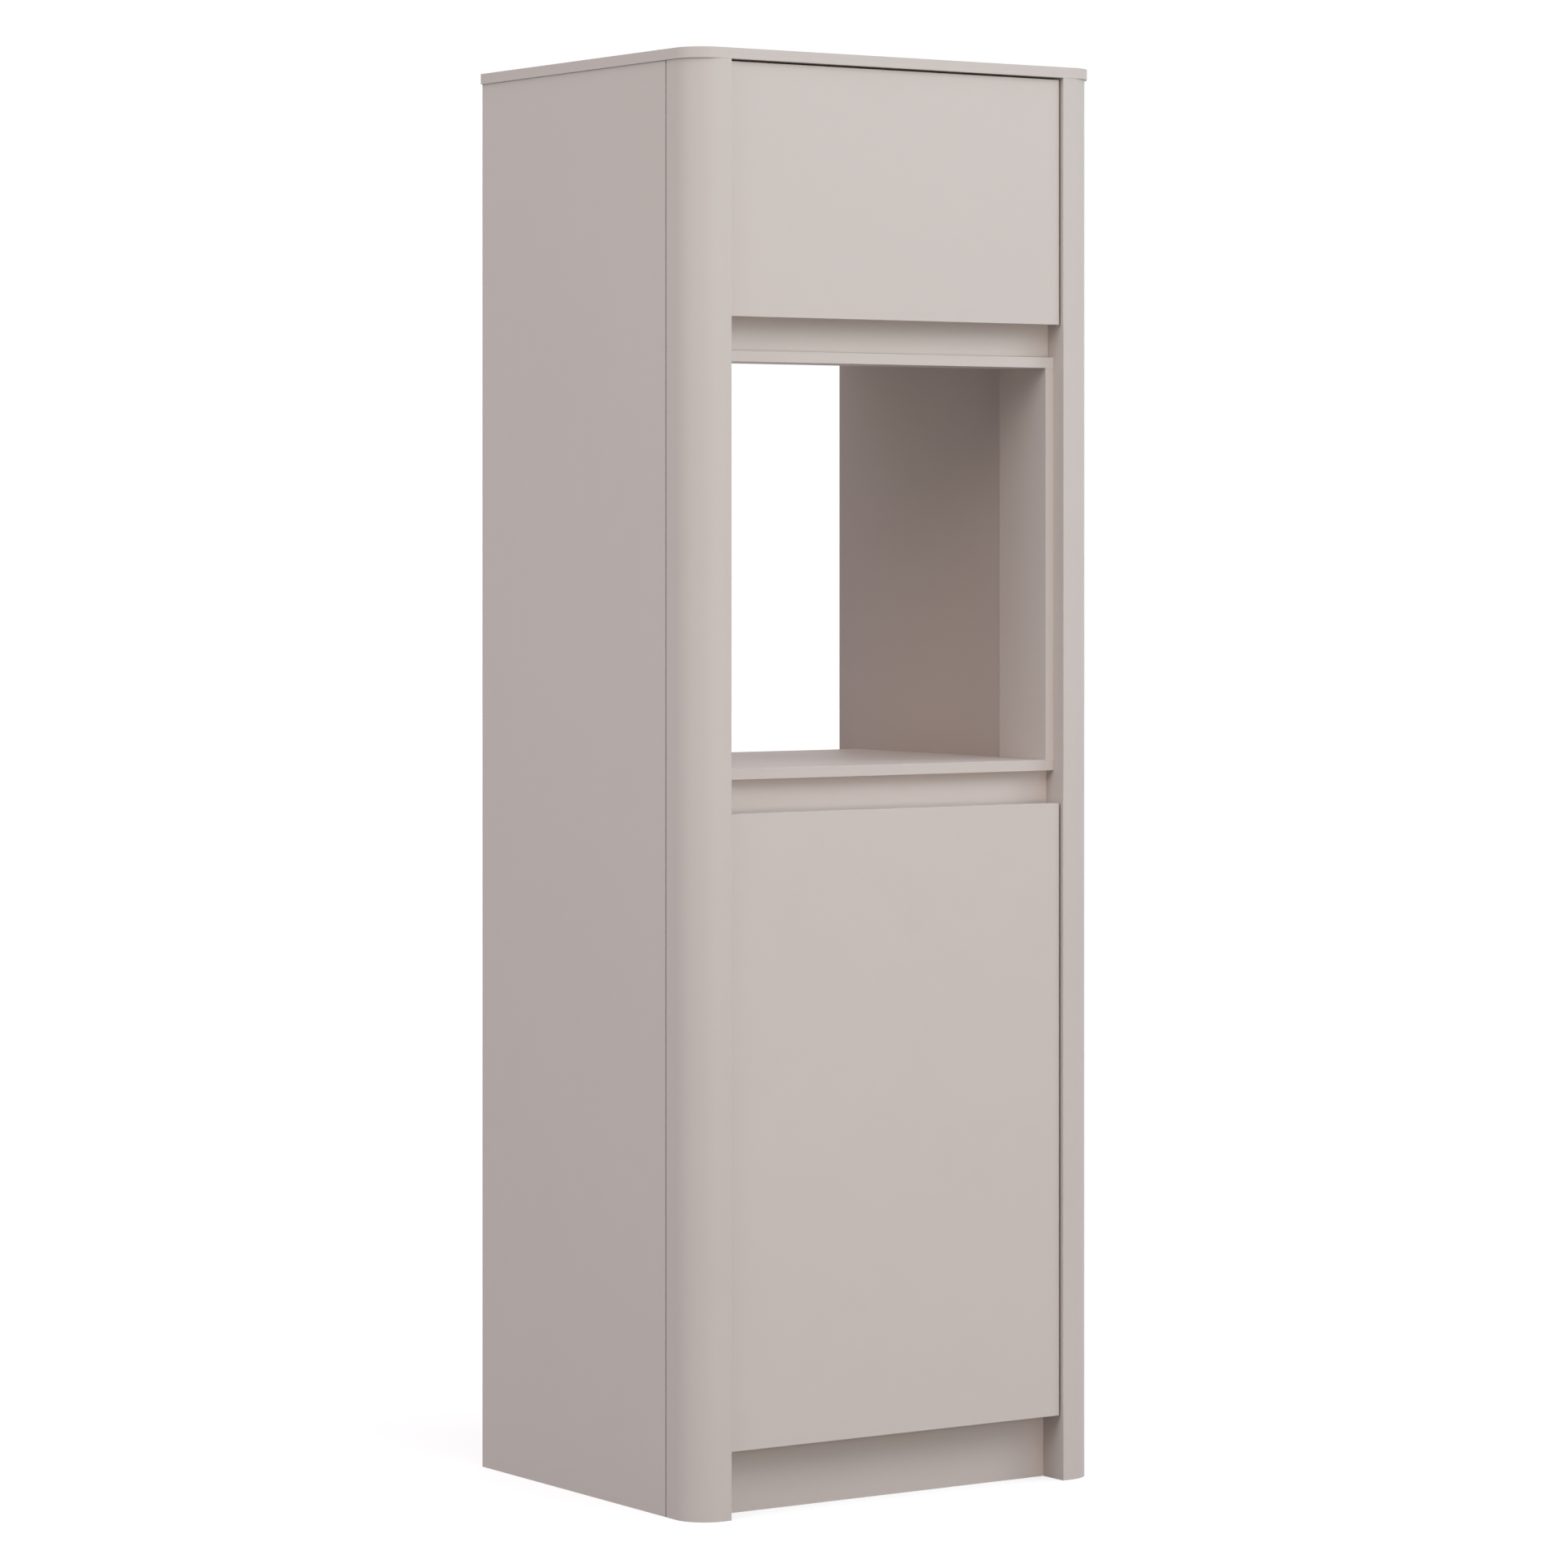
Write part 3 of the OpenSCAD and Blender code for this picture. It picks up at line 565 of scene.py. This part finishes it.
def topPanel():
    low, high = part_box("top_panel")
    top = cubeBetween("topPanel", low, high)

    def frontCorner(a, b, angle):
        return not close(a.z, b.z) and close(a.y, low.y) and close(b.y, low.y)
    pickEdges(top, frontCorner)
    roundPicked(*topLook["corner"])
    pickEdges(top, lambda a, b, angle: angle > care["folded"])
    roundPicked(*topLook["arris"])
    markFaces(top, "edgeRound")
    finish(top, "carcass", "foil", "top_panel")


topPanel()
print("top made")

# what keeps its CAD mesh
kept = {
    "melamineWithPaintedShade": ["left_inner_side", "right_inner_side"],
    "wrapped": ["rear_plinth_rail"],
    "spruce": ["left_battens", "right_battens"],
    "sheet": ["upper_back_sheet", "lower_back_sheet"],
    "nickel": ["shelf_pins", "cam_bolts", "wall_brackets", "bracket_screws", "plate_screws", "arm_screws",
               "lower_hinge_plates", "lower_hinge_arms", "lower_hinge_cups", "lower_hinge_pins",
               "lower_cup_screws", "upper_hinge_plates", "upper_hinge_arms", "upper_hinge_cups",
               "upper_hinge_pins", "upper_cup_screws"],
    "zinc": ["cam_discs"],
    "beech": ["dowels"],
    "buffer": ["door_bumpers"],
}
for finishName, members in kept.items():
    for member in members:
        nodes[member].data.materials.clear()
        nodes[member].data.materials.append(finishes[finishName])
print("hardware finished:", sum(len(members) for members in kept.values()))

nail = {"radius": 2.4 * mm, "dome": 0.6 * mm, "segments": 12, "rings": 6,
        "insetAcross": 5 * mm, "insetUp": 8 * mm, "pitch": 110 * mm, "leastSpans": 2}


def nailHead(name, x, y, z):
    deselectAll()
    bpy.ops.mesh.primitive_uv_sphere_add(segments=nail["segments"], ring_count=nail["rings"],
                                         radius=nail["radius"], location=(x, y, z))
    head = bpy.context.active_object
    head.name = name
    head.scale = (1, nail["dome"] / nail["radius"], 1)
    bpy.ops.object.transform_apply(location=True, rotation=True, scale=True)
    editAll()
    bpy.ops.mesh.bisect(plane_co=(0, y, 0), plane_no=(0, -1, 0), clear_outer=True, use_fill=True)
    bpy.ops.object.mode_set(mode="OBJECT")
    return head


def nailRow(node, name):
    # nails all round a back sheet, joined as one piece
    low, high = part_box(node)
    left, right = low.x + nail["insetAcross"], high.x - nail["insetAcross"]
    bottom, top = low.z + nail["insetUp"], high.z - nail["insetUp"]
    across = max(nail["leastSpans"], round((right - left) / nail["pitch"]))
    up = max(nail["leastSpans"], round((top - bottom) / nail["pitch"]))
    spots = [(left + (right - left) * i / across, z) for i in range(across + 1) for z in (bottom, top)]
    spots += [(x, bottom + (top - bottom) * i / up) for i in range(1, up) for x in (left, right)]
    heads = [nailHead(name, x, high.y, z) for x, z in spots]
    deselectAll()
    for head in heads:
        head.select_set(True)
    bpy.context.view_layer.objects.active = heads[0]
    bpy.ops.object.join()
    heads[0].name = name
    finish(heads[0], "carcass", "nickel", slot="nickel_steel")


nailRow("upper_back_sheet", "upperSheetNails")
nailRow("lower_back_sheet", "lowerSheetNails")
print("nails set")

studio = {"floorSize": 60.0, "floorSeen": grey(0.42), "floorBounce": grey(0.20),
          "glow": grey(0.65), "farGlow": grey(0.76), "farSpread": (3.0, 9.0), "whiteSeen": 1.01}


def whiteFloor():
    deselectAll()
    bpy.ops.mesh.primitive_plane_add(size=studio["floorSize"], location=(0, 0, 0))
    floor = bpy.context.active_object
    floor.name = "studioFloor"
    surface = Surface("studioFloor", Specular_IOR_Level=0.0, Roughness=1.0, Emission_Strength=1.0)
    seen = surface.straightRays()
    # the lamps reach less of the floor far out, so it glows more there and meets the white without a line
    away = surface.node("ShaderNodeVectorMath", {"operation": "LENGTH"}, {0: surface.place})
    far = surface.out(away, "Value").spread(*studio["farSpread"])
    glow = surface.blend(far, studio["glow"], studio["farGlow"])
    surface.paint(Base_Color=surface.blend(seen, studio["floorBounce"], studio["floorSeen"]),
                  Emission_Color=surface.blend(seen, grey(0.0), glow))
    floor.data.materials.append(surface.material)


# each lobe is (where it stands, its light)
skyLobes = {"above": ((0, 0, 1), (1.038, 0.980, 1.134, 1.0)),
            "behind": ((0, 1, 0), (0.51, 0.42, 0.29, 1.0))}


def whiteSky():
    # plain white where it is seen; as a light it is two soft lobes
    world = bpy.data.worlds.new("studioSky")
    world.use_nodes = True
    scene.world = world
    sky = Shading(world.node_tree)
    sky.tree.nodes.clear()
    direction = sky.out(sky.node("ShaderNodeTexCoord"), "Generated")
    light = grey(0.0)
    for towards, colour in skyLobes.values():
        along = sky.node("ShaderNodeVectorMath", {"operation": "DOT_PRODUCT"}, {0: direction, 1: towards})
        light = sky.blend(sky.out(along, "Value").clamped(), light, colour, "ADD")
    soft = sky.node("ShaderNodeBackground", None, {"Color": light, "Strength": 1.0})
    plain = sky.node("ShaderNodeBackground", None, {"Color": grey(1.0), "Strength": studio["whiteSeen"]})
    mix = sky.node("ShaderNodeMixShader", None, {0: sky.straightRays(), 1: sky.out(soft), 2: sky.out(plain)})
    sky.node("ShaderNodeOutputWorld", None, {"Surface": sky.out(mix)})


# a lamp aims at a height on the upright axis through the cabinet
lamps = {"front": {"place": (1.0, -5.0, 2.3), "aim": 1.3, "size": 4.5, "power": 33.7,
                   "colour": (0.673, 0.900, 1.000)},
         "left": {"place": (-6.4, -1.2, 3.4), "aim": 1.5, "size": 3.0, "power": 133.3,
                  "colour": (0.827, 0.974, 1.000)},
         "top": {"place": (0.0, -3.0, 4.5), "aim": 1.3, "size": 3.0, "power": 35.5,
                 "colour": (0.632, 0.948, 1.000)},
         "right": {"place": (5.5, -4.0, 4.5), "aim": 1.2, "size": 4.0, "power": 152.9,
                   "colour": (0.883, 0.971, 1.000)},
         "highLeft": {"place": (-3.5, -4.5, 5.5), "aim": 1.2, "size": 4.0, "power": 43.8,
                      "colour": (1.000, 0.514, 0.234)},
         "low": {"place": (-0.3, -5.0, 0.8), "aim": 1.2, "size": 2.0, "power": 50.7,
                 "colour": (1.000, 0.887, 0.741)}}


def softLamp(name, lamp):
    data = bpy.data.lights.new(name, "AREA")
    data.shape = "DISK"
    data.size = lamp["size"]
    data.energy = lamp["power"]
    data.color = lamp["colour"]
    light = bpy.data.objects.new(name, data)
    scene.collection.objects.link(light)
    light.location = lamp["place"]
    beam = Vector((0, 0, lamp["aim"])) - light.location
    light.rotation_euler = beam.to_track_quat("-Z", "Y").to_euler()


whiteFloor()
whiteSky()
for name, lamp in lamps.items():
    softLamp(name + "Lamp", lamp)

# the photograph was taken level, with the lens shifted down; a tilt of 90 degrees is level
view = {"place": (-4.6649, -6.9172, 1.4279), "tilt": 90, "turn": -33.95,
        "lens": 125.6, "sensor": 36.0, "shift": -0.1586, "reach": 200}


def photoCamera():
    data = bpy.data.cameras.new("photoCamera")
    data.sensor_width = view["sensor"]
    data.lens = view["lens"]
    data.shift_y = view["shift"]
    data.clip_end = view["reach"]
    camera = bpy.data.objects.new("photoCamera", data)
    scene.collection.objects.link(camera)
    camera.location = view["place"]
    camera.rotation_euler = (math.radians(view["tilt"]), 0, math.radians(view["turn"]))
    scene.camera = camera


photoCamera()
scene.view_settings.view_transform = "Standard"
print("studio ready")
